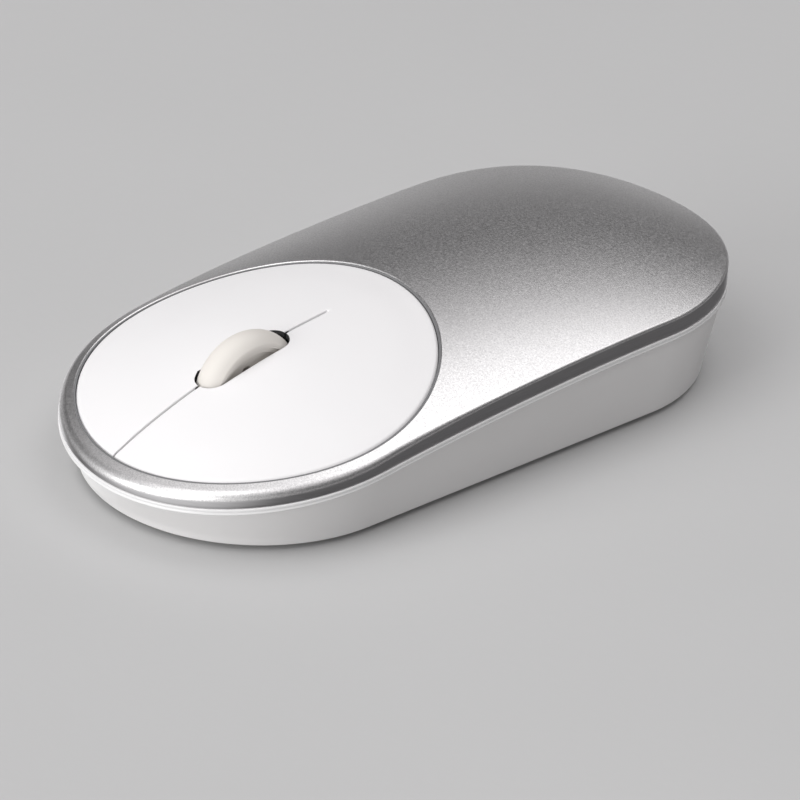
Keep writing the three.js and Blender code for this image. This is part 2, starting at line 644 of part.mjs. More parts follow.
add('wheel_tyre', wheelTyre(), 'rubber');
add('wheel_hub', wheelHub(), 'white');
add('wheel_axle', geometryOf(rod(-5.3, 5.3, WHEEL_Y, WHEEL_Z, 1.0)), 'steel');
add('wheel_bracket', wheelBracket(), 'dark');
add('wheel_mount', wheelMount(), 'dark');
add('wheel_emitter', opticalPart(-1), 'clear');
add('wheel_detector', opticalPart(1), 'dark');

add('power_switch_body', powerSwitchBody(), 'steel');
add('power_switch_knob', powerSwitchKnob(), 'dark');
add('pair_button', pairButton(), 'white');
add('pair_switch', pairSwitch(), 'dark');

add('battery_bay', batteryBay(), 'white');
const plateGap = 0.6;
const leftCell = add('battery_left', cell(), 'cell');
leftCell.position.set(-CELL_X, BAY_FRONT - plateGap - CELL_LENGTH, CELL_Z);
const rightCell = add('battery_right', cell(), 'cell');
rightCell.position.set(CELL_X, BAY_REAR + plateGap + CELL_LENGTH, CELL_Z);
rightCell.rotation.z = Math.PI;
add('contact_front_left', frontContact(-1), 'steel');
add('contact_front_right', frontContact(1), 'steel');
add('contact_rear', rearContact(), 'steel');
const frontSpring = add('spring_front', contactSpring(), 'steel');
frontSpring.position.set(CELL_X, BAY_FRONT - plateGap, CELL_Z);
frontSpring.rotation.z = Math.PI;
const rearSpring = add('spring_rear', contactSpring(), 'steel');
rearSpring.position.set(-CELL_X, BAY_REAR + plateGap, CELL_Z);

CASE_SCREW_PLACES.forEach(([x, y], index) => {
  add(`case_screw_${index + 1}`, screw(2.0, 1.2, 0.8, 10), 'steel').position.set(x, y, 1.3);
});
BOARD_SCREW_PLACES.forEach(([x, y], index) => {
  const boardScrew = add(`board_screw_${index + 1}`, screw(1.7, 1.0, 0.7, 3.7), 'steel');
  boardScrew.position.set(x, y, BOARD_TOP + SEAT_GAP + 1.0);
  boardScrew.rotation.x = Math.PI;
});
for (const [side, x] of [['left', -BRIDGE_SCREW_X], ['right', BRIDGE_SCREW_X]]) {
  const bridgeScrew = add(`bridge_screw_${side}`, screw(1.8, 1.1, 0.75, 5), 'steel');
  bridgeScrew.position.set(x, BRIDGE_SCREW_Y, DECK_BOTTOM - SEAT_GAP - 1.1);
}

export default mouse;
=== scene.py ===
"""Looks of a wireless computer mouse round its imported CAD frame. Shapes are worked out in millimetres."""
import math

import bmesh
import bpy
import numpy as np
from mathutils import Matrix, Vector


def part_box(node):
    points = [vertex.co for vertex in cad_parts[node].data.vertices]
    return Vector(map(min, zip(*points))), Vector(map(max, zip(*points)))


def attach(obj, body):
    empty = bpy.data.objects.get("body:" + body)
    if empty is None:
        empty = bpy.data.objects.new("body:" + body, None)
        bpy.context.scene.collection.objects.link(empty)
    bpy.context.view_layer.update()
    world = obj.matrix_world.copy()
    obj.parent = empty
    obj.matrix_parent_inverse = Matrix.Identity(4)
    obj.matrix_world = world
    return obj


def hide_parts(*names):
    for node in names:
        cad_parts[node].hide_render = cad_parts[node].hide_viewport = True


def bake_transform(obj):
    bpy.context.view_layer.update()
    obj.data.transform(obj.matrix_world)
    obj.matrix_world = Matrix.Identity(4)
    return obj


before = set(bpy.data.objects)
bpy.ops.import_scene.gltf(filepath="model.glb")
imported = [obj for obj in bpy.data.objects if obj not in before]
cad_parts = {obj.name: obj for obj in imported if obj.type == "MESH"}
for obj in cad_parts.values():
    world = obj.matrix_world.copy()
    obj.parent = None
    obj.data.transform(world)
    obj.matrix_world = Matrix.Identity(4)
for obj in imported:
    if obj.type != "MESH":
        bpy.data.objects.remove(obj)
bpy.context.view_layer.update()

MM = 0.001

# Sizes read from the frame
FRAME_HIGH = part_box("mid_frame")[1] / MM
HALF_WIDTH = FRAME_HIGH.x
END_CENTRE = FRAME_HIGH.y - FRAME_HIGH.x
FLOOR_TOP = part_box("battery_door")[1].z / MM
BASE_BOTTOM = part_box("battery_door")[0].z / MM
PLATE_RADIUS = -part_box("left_button")[0].x / MM
SLIT_WIDTH = -2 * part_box("left_button")[1].x / MM

# Driving dimensions of the body
COVER_INSET = 0.15
COVER_THICKNESS = 1.2
SIDE_THICKNESS = COVER_THICKNESS - 0.2
REVEAL_GAP = 0.06
LIP_HEIGHT = 0.95
WALL_TOP_DROP = 1.15
OPENING_RADIUS = PLATE_RADIUS + 0.3
OPENING_CHAMFER = 0.15
SIDE_ROLL_RADIUS = 0.4
FRONT_ROLL_RADIUS = 1.0

# Driving dimensions of the button plate and its wheel slot
PLATE_THICKNESS = 1.5
PLATE_EDGE_RADIUS = 0.5
PLATE_EDGE_DROP = 0.15
SLIT_REAR_Y = 14.4
SLOT_CENTRE_Y = 29.95
SLOT_LENGTH = 15.5
SLOT_WIDTH = 5.3
WHEEL_CLEARANCE = 0.35
ROOM_CROWN = 3.3
TYRE_CROWN = 2.9

# Driving dimensions of what is inside and below
SEAT_GAP = 0.05
BOARD_TOP = 5.2
BOARD_BOTTOM = 4.2
DECK = (13.0, 14.0)
CELL_RADIUS = 5.25
CELL_LENGTH = 44.5
CELL_BAND_END = 14.0
CELL_X = 5.35
CELL_Z = FLOOR_TOP + 0.3 + CELL_RADIUS
SENSOR_Y = 9.6
SWITCH_Y = 37.5
SWITCH_X = 11.5
MIDDLE_SWITCH_Y = 40.2
UNDERSIDE_CONTROL_X = 12.5
UNDERSIDE_CONTROL_Y = 10.5
DOOR = (-10.7, 10.7, -44.4, 2.4)
DOOR_CORNER = 1.8
BAY_REAR, BAY_FRONT = DOOR[2:]
CASE_SCREW_PLACES = ((-17.5, -8), (17.5, -8), (-16.5, -36), (16.5, -36))
BOARD_SCREW_PLACES = ((-18.5, 27.2), (18.5, 27.2), (0, 46.3))
BRIDGE_SCREW_X = 10
BRIDGE_SCREW_Y = 7
BRIDGE_BORE_TOP = 17.4
RIB_FOOT = 11.05

# Mesh fineness; many-sided faces wider than the area are shaded flat
WIDE_FLAT_AREA = 12e-6
DOME_BORDER = 0.004
MERGE_DISTANCE = 1e-7
ARC_STEPS = 80
SIDE_STEPS = 24
DISC_STEPS = 192


def plan():
    """Points of the body's outline with their outward directions, one row of x and y for each step."""
    points, outward = [], []
    for end in (1, -1):
        for turn in np.linspace(0, math.pi, ARC_STEPS + 1):
            direction = (end * math.cos(turn), end * math.sin(turn))
            points.append((HALF_WIDTH * direction[0], HALF_WIDTH * direction[1] + end * END_CENTRE))
            outward.append(direction)
        for travel in np.linspace(1, -1, SIDE_STEPS + 1)[1:-1]:
            points.append((-end * HALF_WIDTH, end * END_CENTRE * travel))
            outward.append((-end, 0.0))
    return np.array(points), np.array(outward)


OUTLINE, OUTWARD = plan()


# ---------------------------------------------------------------- height formulas
def top_height(x, y):
    """Height of the domed top: a quartic spine that falls away to both sides."""
    along = y / 50
    spine = 21.43 - 2.83 * along - 4.26 * along**2 - 1.18 * along**3 - 2.3 * along**4
    fall = 5.3 + 0.78 * along - 1.95 * along**2
    return spine - fall * (x / HALF_WIDTH) ** 2


def parting_height(y):
    """Height of the line where the cover meets the lip."""
    return 13.68 - 0.0716 * y - 0.001 * y**2


def smoothstep(value, low, high):
    share = np.clip((value - low) / (high - low), 0, 1)
    return share * share * (3 - 2 * share)


# ---------------------------------------------------------------- rings and lofts
def ring(plan_points, height):
    """A ring of points over plan_points; height is a number, one for each point, or a function of x and y."""
    x, y = plan_points[:, 0], plan_points[:, 1]
    z = height(x, y) if callable(height) else height
    return np.column_stack([x, y, np.broadcast_to(z, x.shape)])


def outline(inset=0.0):
    return OUTLINE - OUTWARD * np.reshape(inset, (-1, 1))


def circle(radius, steps=DISC_STEPS, centre=(0.0, END_CENTRE)):
    turn = np.linspace(0, 2 * math.pi, steps, endpoint=False)
    return np.column_stack([centre[0] + radius * np.cos(turn), centre[1] + radius * np.sin(turn)])


def rounded_rectangle(x0, x1, y0, y1, radius, grow=0.0, steps=10):
    """Plan of a rectangle with round corners, grown outwards."""
    points = []
    corners = [(x1, y0, -90), (x1, y1, 0), (x0, y1, 90), (x0, y0, 180)]
    for x, y, start in corners:
        centre_x = x - math.copysign(radius, x - (x0 + x1) / 2)
        centre_y = y - math.copysign(radius, y - (y0 + y1) / 2)
        for turn in np.radians(np.linspace(start, start + 90, steps)):
            reach = radius + grow
            points.append((centre_x + reach * math.cos(turn), centre_y + reach * math.sin(turn)))
    return np.array(points)


def split_long_sides(plan_points, longest=1.0):
    """The same closed plan with extra points, so that its sides can follow a curved surface."""
    points = []
    for start, end in zip(plan_points, np.roll(plan_points, -1, axis=0)):
        pieces = max(1, math.ceil(np.hypot(*(end - start)) / longest))
        points += [start + (end - start) * share for share in np.arange(pieces) / pieces]
    return np.array(points)


def loft(rings, loop=False):
    """Faces over rings of equal length. A loop joins the last ring to the first, or both ends get a cap."""
    count = len(rings[0])
    faces = []
    for low in range(len(rings) if loop else len(rings) - 1):
        high = (low + 1) % len(rings)
        for step in range(count):
            turn = (step + 1) % count
            faces.append((low * count + step, low * count + turn, high * count + turn, high * count + step))
    if not loop:
        faces.append(tuple(range(count))[::-1])
        faces.append(tuple(range((len(rings) - 1) * count, len(rings) * count)))
    return np.vstack(rings), faces


def new_piece(name, points, faces):
    """An object from points in millimetres, with doubled points merged and its faces pointing out."""
    mesh = bpy.data.meshes.new(name)
    mesh.from_pydata((np.asarray(points) * MM).tolist(), [], faces)
    work = bmesh.new()
    work.from_mesh(mesh)
    bmesh.ops.remove_doubles(work, verts=work.verts, dist=MERGE_DISTANCE)
    bmesh.ops.recalc_face_normals(work, faces=work.faces)
    work.to_mesh(mesh)
    work.free()
    piece = bpy.data.objects.new(name, mesh)
    bpy.context.scene.collection.objects.link(piece)
    return piece


def lofted(name, rings, loop=False):
    return new_piece(name, *loft(rings, loop))


def turned(name, profile, centre, axis="Z", steps=64):
    """A profile of (radius, height) points turned about an axis through centre.

    A closed profile repeats its start.
    """
    turn = np.linspace(0, 2 * math.pi, steps, endpoint=False)
    closed = profile[0] == profile[-1]
    rings = []
    for radius, height in profile[:-1] if closed else profile:
        flat = np.column_stack([radius * np.cos(turn), radius * np.sin(turn), np.full(steps, height)])
        order = {"Z": (0, 1, 2), "X": (2, 0, 1), "Y": (1, 2, 0)}[axis]
        rings.append(flat[:, order] + np.array(centre))
    return new_piece(name, *loft(rings, loop=closed))


def block(name, x, y, z, radius=0.2):
    """A box with rounded edges; x, y and z are (low, high)."""
    work = bmesh.new()
    bmesh.ops.create_cube(work, size=1)
    for vertex in work.verts:
        for axis, (low, high) in enumerate((x, y, z)):
            vertex.co[axis] = (low + high) / 2 + vertex.co[axis] * (high - low)
    bmesh.ops.bevel(work, geom=work.edges[:], offset=radius, segments=3, profile=0.5, affect="EDGES")
    points = [tuple(v.co) for v in work.verts]
    work.verts.index_update()
    faces = [tuple(v.index for v in face.verts) for face in work.faces]
    work.free()
    return new_piece(name, points, faces)


def apply_modifiers(piece):
    bpy.context.view_layer.update()
    graph = bpy.context.evaluated_depsgraph_get()
    mesh = bpy.data.meshes.new_from_object(piece.evaluated_get(graph))
    piece.modifiers.clear()
    piece.data = mesh


def combine(piece, others, operation):
    """Cuts the others from piece, or joins them to it."""
    for other in others:
        step = piece.modifiers.new(other.name, "BOOLEAN")
        step.operation = operation
        step.solver = "EXACT"
        step.object = other
    apply_modifiers(piece)
    for other in others:
        bpy.data.objects.remove(other)
    return piece


def cut(piece, *cutters):
    return combine(piece, cutters, "DIFFERENCE")


def join(piece, *others):
    return combine(piece, others, "UNION")


def shaft(name, x, y, profile, steps=48):
    """A solid turned about an upright line at x, y from (radius, height) points."""
    return turned(name, profile, (x, y, 0), "Z", steps)


def soften(piece, width=0.12, angle=40):
    """Joins split corners and rounds the edges that are sharper than angle."""
    weld = piece.modifiers.new("weld", "WELD")
    weld.merge_threshold = 1e-6
    bevel = piece.modifiers.new("bevel", "BEVEL")
    bevel.width = width * MM
    bevel.segments = 2
    bevel.limit_method = "ANGLE"
    bevel.angle_limit = math.radians(angle)


def dress(piece, body, look, replaces=(), sharp=35):
    """Smooth shading, material and body for a finished piece."""
    piece.data.materials.clear()
    piece.data.materials.append(look)
    piece.data.shade_smooth()
    piece.data.set_sharp_from_angle(angle=math.radians(sharp))
    for face in piece.data.polygons:
        level_below = face.normal.z < -0.9999
        if level_below or (len(face.vertices) > 8 and face.area > WIDE_FLAT_AREA):
            face.use_smooth = False
    if body is not None:
        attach(piece, body)
    if replaces:
        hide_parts(*replaces)
    return piece


# ---------------------------------------------------------------- materials
def new_material(name):
    material = bpy.data.materials.new(name)
    material.use_nodes = True
    nodes = material.node_tree.nodes
    nodes.clear()
    output = nodes.new("ShaderNodeOutputMaterial")
    shader = nodes.new("ShaderNodeBsdfPrincipled")
    material.node_tree.links.new(shader.outputs["BSDF"], output.inputs["Surface"])
    return material, shader


def noise(material, scale, detail=2.0, roughness=0.5, stretch=(1, 1, 1)):
    """A noise output in object space; scale is in waves a metre."""
    nodes, links = material.node_tree.nodes, material.node_tree.links
    place = nodes.new("ShaderNodeTexCoord")
    mapping = nodes.new("ShaderNodeMapping")
    mapping.inputs["Scale"].default_value = stretch
    texture = nodes.new("ShaderNodeTexNoise")
    texture.inputs["Scale"].default_value = scale
    texture.inputs["Detail"].default_value = detail
    texture.inputs["Roughness"].default_value = roughness
    links.new(place.outputs["Object"], mapping.inputs["Vector"])
    links.new(mapping.outputs["Vector"], texture.inputs["Vector"])
    return texture.outputs["Fac"]


def remap(material, value, low, high, start=0.3, end=0.7):
    """value brought from start..end to low..high."""
    node = material.node_tree.nodes.new("ShaderNodeMapRange")
    node.inputs["From Min"].default_value = start
    node.inputs["From Max"].default_value = end
    node.inputs["To Min"].default_value = low
    node.inputs["To Max"].default_value = high
    material.node_tree.links.new(value, node.inputs["Value"])
    return node.outputs["Result"]


def blend_colours(material, share, first, second):
    node = material.node_tree.nodes.new("ShaderNodeMix")
    node.data_type = "RGBA"
    node.inputs["A"].default_value = (*first, 1)
    node.inputs["B"].default_value = (*second, 1)
    material.node_tree.links.new(share, node.inputs["Factor"])
    return node.outputs["Result"]


def bump(material, shader, height, distance, strength=1.0):
    node = material.node_tree.nodes.new("ShaderNodeBump")
    node.inputs["Strength"].default_value = strength
    node.inputs["Distance"].default_value = distance
    material.node_tree.links.new(height, node.inputs["Height"])
    material.node_tree.links.new(node.outputs["Normal"], shader.inputs["Normal"])


def surface(name, colours, rough, grain, metallic=0.0, mottle=40, mottle_rough=300, **sockets):
    """A material with two close colours, a roughness range and a fine grain as (waves a metre, depth)."""
    material, shader = new_material(name)
    links = material.node_tree.links
    shade = remap(material, noise(material, mottle), 0, 1)
    links.new(blend_colours(material, shade, *colours), shader.inputs["Base Color"])
    links.new(remap(material, noise(material, mottle_rough, 3), *rough), shader.inputs["Roughness"])
    shader.inputs["Metallic"].default_value = metallic
    for socket, value in sockets.items():
        shader.inputs[socket.replace("_", " ")].default_value = value
    if grain:
        bump(material, shader, noise(material, grain[0], 2, 0.6), grain[1])
    return material


def blasted_aluminium():
    """Fine bead-blasted and anodised aluminium: a satin sheen broken up by tiny pits."""
    material, shader = new_material("blasted_aluminium")
    links = material.node_tree.links
    pits = noise(material, 4200, 2, 0.75)
    shade = remap(material, pits, 0, 1)
    links.new(blend_colours(material, shade, (0.56, 0.553, 0.555), (0.83, 0.82, 0.822)),
              shader.inputs["Base Color"])
    links.new(remap(material, noise(material, 2600, 3), 0.30, 0.42), shader.inputs["Roughness"])
    shader.inputs["Metallic"].default_value = 1.0
    bump(material, shader, pits, 0.00002, 1.0)
    return material


def cut_aluminium():
    """The smoother machined band round the cover's foot, with faint lines along the cut."""
    material, shader = new_material("cut_aluminium")
    links = material.node_tree.links
    lines = noise(material, 9000, 2, 0.5, stretch=(0.02, 0.02, 1))
    links.new(blend_colours(material, remap(material, lines, 0, 1), (0.63, 0.62, 0.63), (0.71, 0.70, 0.71)),
              shader.inputs["Base Color"])
    links.new(remap(material, lines, 0.28, 0.34), shader.inputs["Roughness"])
    shader.inputs["Metallic"].default_value = 1.0
    bump(material, shader, lines, 0.000004, 0.2)
    return material


BLASTED = blasted_aluminium()
CUT = cut_aluminium()
PLATE_WHITE = surface("plate_plastic", [(0.87, 0.86, 0.865), (0.89, 0.88, 0.885)], (0.36, 0.44),
                      (3500, 0.000003))
WALL_WHITE = surface("wall_plastic", [(0.81, 0.80, 0.795), (0.84, 0.83, 0.825)], (0.30, 0.38),
                     (2500, 0.000003))
LIP_WHITE = surface("lip_plastic", [(0.82, 0.815, 0.815), (0.85, 0.845, 0.845)], (0.2, 0.28),
                    (1500, 0.000002))
TYRE_RUBBER = surface("tyre_rubber", [(0.74, 0.70, 0.655), (0.78, 0.745, 0.70)], (0.5, 0.62),
                      (4000, 0.000006))
INNER_WHITE = surface("inner_plastic", [(0.62, 0.615, 0.61), (0.68, 0.675, 0.67)], (0.42, 0.52),
                      (1800, 0.000006))
DARK_PLASTIC = surface("dark_plastic", [(0.018, 0.018, 0.02), (0.032, 0.032, 0.035)], (0.4, 0.55),
                       (1800, 0.000008))
# Grey of the ring in the plate gap: painted shade of the gap
GAP_SHADE_GREY = surface("gap_shade_grey", [(0.17, 0.17, 0.175), (0.21, 0.21, 0.215)], (0.5, 0.6), (1500, 0.000006))
GLIDE = surface("glide_plastic", [(0.60, 0.60, 0.60), (0.68, 0.68, 0.675)], (0.32, 0.5), (900, 0.000006))
STEEL = surface("plated_steel", [(0.50, 0.50, 0.51), (0.62, 0.62, 0.63)], (0.2, 0.34), (1400, 0.000003),
                metallic=1.0)
BOARD = surface("board_lacquer", [(0.006, 0.06, 0.022), (0.012, 0.10, 0.04)], (0.2, 0.35), (700, 0.00001))
CELL_WRAP = surface("cell_wrap", [(0.035, 0.05, 0.07), (0.06, 0.08, 0.105)], (0.22, 0.34), (500, 0.000006))
CELL_BAND = surface("cell_band", [(0.36, 0.36, 0.37), (0.42, 0.42, 0.43)], (0.2, 0.3), (500, 0.000005),
                    metallic=0.8)
CLEAR = surface("clear_plastic", [(0.85, 0.9, 0.92), (0.9, 0.94, 0.95)], (0.05, 0.1), None,
                Transmission_Weight=0.9)


# ---------------------------------------------------------------- cover
def opening(radius):
    """Points round the plate opening, in step with the outline's points."""
    rear_steps = len(OUTLINE) - ARC_STEPS
    step = np.arange(len(OUTLINE))
    turn = np.where(step <= ARC_STEPS, step / ARC_STEPS, 1 + (step - ARC_STEPS) / rear_steps) * math.pi
    return np.column_stack([radius * np.cos(turn), END_CENTRE + radius * np.sin(turn)])


def cover():
    """The domed metal cover: rolled edge, smooth band at its foot, chamfered round opening and inner face."""
    roll = SIDE_ROLL_RADIUS + (FRONT_ROLL_RADIUS - SIDE_ROLL_RADIUS) * smoothstep(OUTLINE[:, 1], 0, 45)
    foot = parting_height(OUTLINE[:, 1]) + REVEAL_GAP / 2

    def rolled(angle):
        edge = outline(COVER_INSET + roll * (1 - math.cos(angle)))
        return ring(edge, lambda x, y: top_height(x, y) - roll * (1 - math.sin(angle)))

    def across(share, radius):
        edge = outline(COVER_INSET + roll)
        return ring(edge + (opening(radius) - edge) * share, top_height)

    def lining(share):
        edge = outline(COVER_INSET + SIDE_THICKNESS)
        return ring(edge + (opening(OPENING_RADIUS) - edge) * share,
                    lambda x, y: top_height(x, y) - COVER_THICKNESS)

    rim = OPENING_RADIUS + OPENING_CHAMFER
    rim_round = 0.03
    foot_round = 0.1
    rings = [ring(outline(COVER_INSET + foot_round), foot), ring(outline(COVER_INSET + 0.02), foot + 0.03),
             ring(outline(COVER_INSET), foot + foot_round)]
    rings.append(ring(outline(COVER_INSET), (foot + rolled(0)[:, 2]) / 2))
    rings += [rolled(angle) for angle in np.linspace(0, math.pi / 2, 11)]
    dome = np.linspace(0, 1, 31)[1:-1]
    rings += [across(share, rim + rim_round) for share in (DOME_BORDER, *dome, 1 - DOME_BORDER, 1)]
    rings.append(ring(opening(rim), lambda x, y: top_height(x, y) - rim_round))
    rings.append(ring(opening(OPENING_RADIUS + 0.04), lambda x, y: top_height(x, y) - OPENING_CHAMFER + 0.04))
    rings.append(ring(opening(OPENING_RADIUS), lambda x, y: top_height(x, y) - OPENING_CHAMFER - 0.03))
    rings += [lining(share) for share in (1, 0.75, 0.5, 0.25, 0)]
    rings.append(ring(outline(COVER_INSET + SIDE_THICKNESS), foot))
    piece = lofted("cover_shell", rings, loop=True)
    dress(piece, "housing", BLASTED, ["top_cover"], 40)
    piece.data.materials.append(CUT)
    band_limit = COVER_INSET + 0.03
    for face in piece.data.polygons:
        middle = np.array(face.center) / MM
        reach = abs(middle[1]) - END_CENTRE
        edge = math.hypot(middle[0], reach) if reach > 0 else abs(middle[0])
        if HALF_WIDTH - edge < band_limit and face.normal.z < 0.1:
            face.material_index = 1
    return piece


# ---------------------------------------------------------------- button plate
def slot_plan(grow=0.0):
    half = SLOT_WIDTH / 2
    low, high = SLOT_CENTRE_Y - SLOT_LENGTH / 2, SLOT_CENTRE_Y + SLOT_LENGTH / 2
    return rounded_rectangle(-half, half, low, high, half - 0.01, grow, steps=16)


def slit_plan(grow=0.0):
    half = SLIT_WIDTH / 2
    return rounded_rectangle(-half, half, SLIT_REAR_Y, 60, half - 0.005, grow, steps=8)


def flared(name, plan_of, softness):
    """A cutter that goes straight through the plate and rounds the rim it leaves on the domed top."""
    levels = [(0, -2 * softness), (0.08 * softness, -softness), (0.35 * softness, -0.4 * softness),
              (softness, 0), (2.2 * softness, 0.6 * softness)]
    middle = [ring(split_long_sides(plan_of(grow)), lambda x, y, lift=lift: top_height(x, y) + lift)
              for grow, lift in levels]
    ends = [ring(split_long_sides(plan_of(grow)), height) for grow, height in ((0, 0), (2.2 * softness, 30))]
    return lofted(name, [ends[0], *middle, ends[1]])


def wheel_profile(radius, half_width, crown, steps=14):
    """The crowned running surface as (radius, place along the axle) points."""
    places = np.linspace(-half_width, half_width, steps + 1)
    return [(radius - crown + math.sqrt(crown**2 - x**2), float(x)) for x in places]


def plate_solid():
    """The whole round plate, cut by the slit, the wheel slot and the room round the wheel."""
    edge = PLATE_EDGE_RADIUS
    sunk = lambda radius: PLATE_EDGE_DROP * smoothstep(radius, 19, PLATE_RADIUS - edge)
    flat = [ring(circle(radius), lambda x, y, radius=radius: top_height(x, y) - sunk(radius))
            for radius in np.linspace(1, PLATE_RADIUS - edge, 30)]
    rounding = [ring(circle(PLATE_RADIUS - edge + edge * math.sin(a)),
                     lambda x, y, a=a: top_height(x, y) - PLATE_EDGE_DROP - edge * (1 - math.cos(a)))
                for a in np.linspace(0, math.pi / 2, 8)[1:]]
    under = [ring(circle(radius), lambda x, y: top_height(x, y) - PLATE_THICKNESS)
             for radius in np.linspace(PLATE_RADIUS, 1, 12)]
    plate = lofted("plate", flat + rounding + under)
    half = SLOT_WIDTH / 2
    room = [(0, -half), *wheel_profile(WHEEL_RADIUS + WHEEL_CLEARANCE, half, ROOM_CROWN), (0, half)]
    cut(plate, flared("slot", slot_plan, 0.1), flared("slit", slit_plan, 0.18),
        turned("room", room, WHEEL_CENTRE, "X", 96))
    feet = []
    for side in (-1, 1):
        x, y = side * SWITCH_X, SWITCH_Y
        root = top_height(x, y) - PLATE_THICKNESS + 0.5
        feet.append(block("rib", (x - 1.4, x + 1.4), (y - 1.2, y + 1.2), (RIB_FOOT, root), 0.2))
        x, y = side * BRIDGE_SCREW_X, BRIDGE_SCREW_Y
        root = top_height(x, y) - PLATE_THICKNESS + 0.5
        feet.append(shaft("boss", x, y, [(2.05, DECK[1] + SEAT_GAP), (2.2, DECK[1] + 0.2), (2.2, root)]))
    join(plate, *feet)
    bore = [(0.9, DECK[0]), (0.9, BRIDGE_BORE_TOP)]
    return cut(plate, *[shaft("bore", side * BRIDGE_SCREW_X, BRIDGE_SCREW_Y, bore) for side in (-1, 1)])


def paint_slot_shade(piece):
    """Paints both round ends of the wheel slot, from just below the rim, with the dark plastic: painted shade
    for the dark inside of the slot.
    """
    piece.data.materials.append(DARK_PLASTIC)
    for face in piece.data.polygons:
        x, y, z = face.center / MM
        past_side = abs(y - SLOT_CENTRE_Y) - (SLOT_LENGTH - SLOT_WIDTH) / 2
        reach = math.hypot(x, max(past_side, 0))
        below_rim = z < top_height(x, y) - 0.15
        if past_side > -0.3 and reach < SLOT_WIDTH / 2 + 0.4 and below_rim:
            face.material_index = 1


def painted_gap_shade():
    """A grey ring in the gap between the plate and the cover, a little below the rim: painted shade for the
    dark gap line.
    """
    inner, outer = PLATE_RADIUS + 0.06, OPENING_RADIUS + 0.05
    section = [(inner, 1.0), (inner, 0.2), (inner + 0.06, 0.12), (outer, 0.12), (outer, 1.0)]
    rings = [ring(circle(radius), lambda x, y, drop=drop: top_height(x, y) - drop)
             for radius, drop in section]
    dress(lofted("gap_shade_ring", rings, loop=True), "housing", GAP_SHADE_GREY)


def key_plates():
    """The two halves of the plate, split down the middle. Each stands in for its own button, the left one
    also for the bridge.
    """
    whole = plate_solid()
    for side, name in ((-1, "left"), (1, "right")):
        half = whole.copy()
        half.data = whole.data.copy()
        half.name = f"{name}_key_plate"
        bpy.context.scene.collection.objects.link(half)
        work = bmesh.new()
        work.from_mesh(half.data)
        everything = work.verts[:] + work.edges[:] + work.faces[:]
        bmesh.ops.bisect_plane(work, geom=everything, plane_co=(0, 0, 0), plane_no=(side, 0, 0),
                               clear_inner=True, dist=MERGE_DISTANCE)
        bmesh.ops.remove_doubles(work, verts=work.verts, dist=10 * MERGE_DISTANCE)
        bmesh.ops.dissolve_degenerate(work, edges=work.edges, dist=MERGE_DISTANCE)
        open_edges = [edge for edge in work.edges if edge.is_boundary]
        bmesh.ops.holes_fill(work, edges=open_edges)
        bmesh.ops.recalc_face_normals(work, faces=work.faces)
        work.to_mesh(half.data)
        work.free()
        nodes = [f"{name}_button"] + (["button_bridge"] if side < 0 else [])
        dress(half, None, PLATE_WHITE, nodes, 30)
        # Painted shade on the slot's end walls
        paint_slot_shade(half)
        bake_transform(half)
    bpy.data.objects.remove(whole)


# ---------------------------------------------------------------- lip, deck and tub
def lip():
    """The ring between cover and tub. Its outer lip has a fine groove that parts it into two bright lines."""
    edge = 0.14
    half_gap = REVEAL_GAP / 2
    outer = [(edge - edge * math.sin(a), -half_gap - edge + edge * math.cos(a))
             for a in np.linspace(0, math.pi / 2, 6)]
    lower = [(edge - edge * math.cos(a), edge - LIP_HEIGHT - edge * math.sin(a))
             for a in np.linspace(0, math.pi / 2, 6)]
    groove = [(0, -0.34), (0.03, -0.38), (0.13, -0.42), (0.13, -0.46), (0.05, -0.62), (0.01, -0.7)]
    section = [(3.2, -2.1), (3.2, -0.2), (2.3, -0.2), (2.3, 0.5), (1.45, 0.5), (1.45, -half_gap),
               *outer, *groove, *lower, (2.35, -LIP_HEIGHT), (2.35, -2.1)]
    rings = [ring(outline(inset), lambda x, y, rise=rise: parting_height(y) + rise)
             for inset, rise in section]
    piece = lofted("lip_ring", rings, loop=True)
    deck = lofted("deck", [ring(outline(3.0), height) for height in DECK])
    cut(deck, block("front_room", (-40, 40), (10, 70), (0, 30), 1.0))
    post = [(2.3, 6.1), (2.4, 6.2), (2.4, DECK[0] + 0.2)]
    join(piece, join(deck, *[shaft("post", x, y, post) for x, y in CASE_SCREW_PLACES]))
    holes = [shaft("hole", x, y, [(0.95, 5), (0.95, 12)]) for x, y in CASE_SCREW_PLACES]
    holes += [shaft("hole", side * BRIDGE_SCREW_X, BRIDGE_SCREW_Y, [(1.0, 12), (1.0, 15)])
              for side in (-1, 1)]
    cut(piece, *holes)
    return dress(piece, "housing", LIP_WHITE, ["mid_frame"])


def floor_window(name, plan_of, flare):
    """A cutter through the floor that widens to a chamfer at the underside."""
    levels = [(flare + 0.3, BASE_BOTTOM - 0.3), (flare, BASE_BOTTOM),
              (0.3 * flare, BASE_BOTTOM + 0.4 * flare), (0, BASE_BOTTOM + flare), (0, FLOOR_TOP + 1)]
    return lofted(name, [ring(plan_of(grow), height) for grow, height in levels])


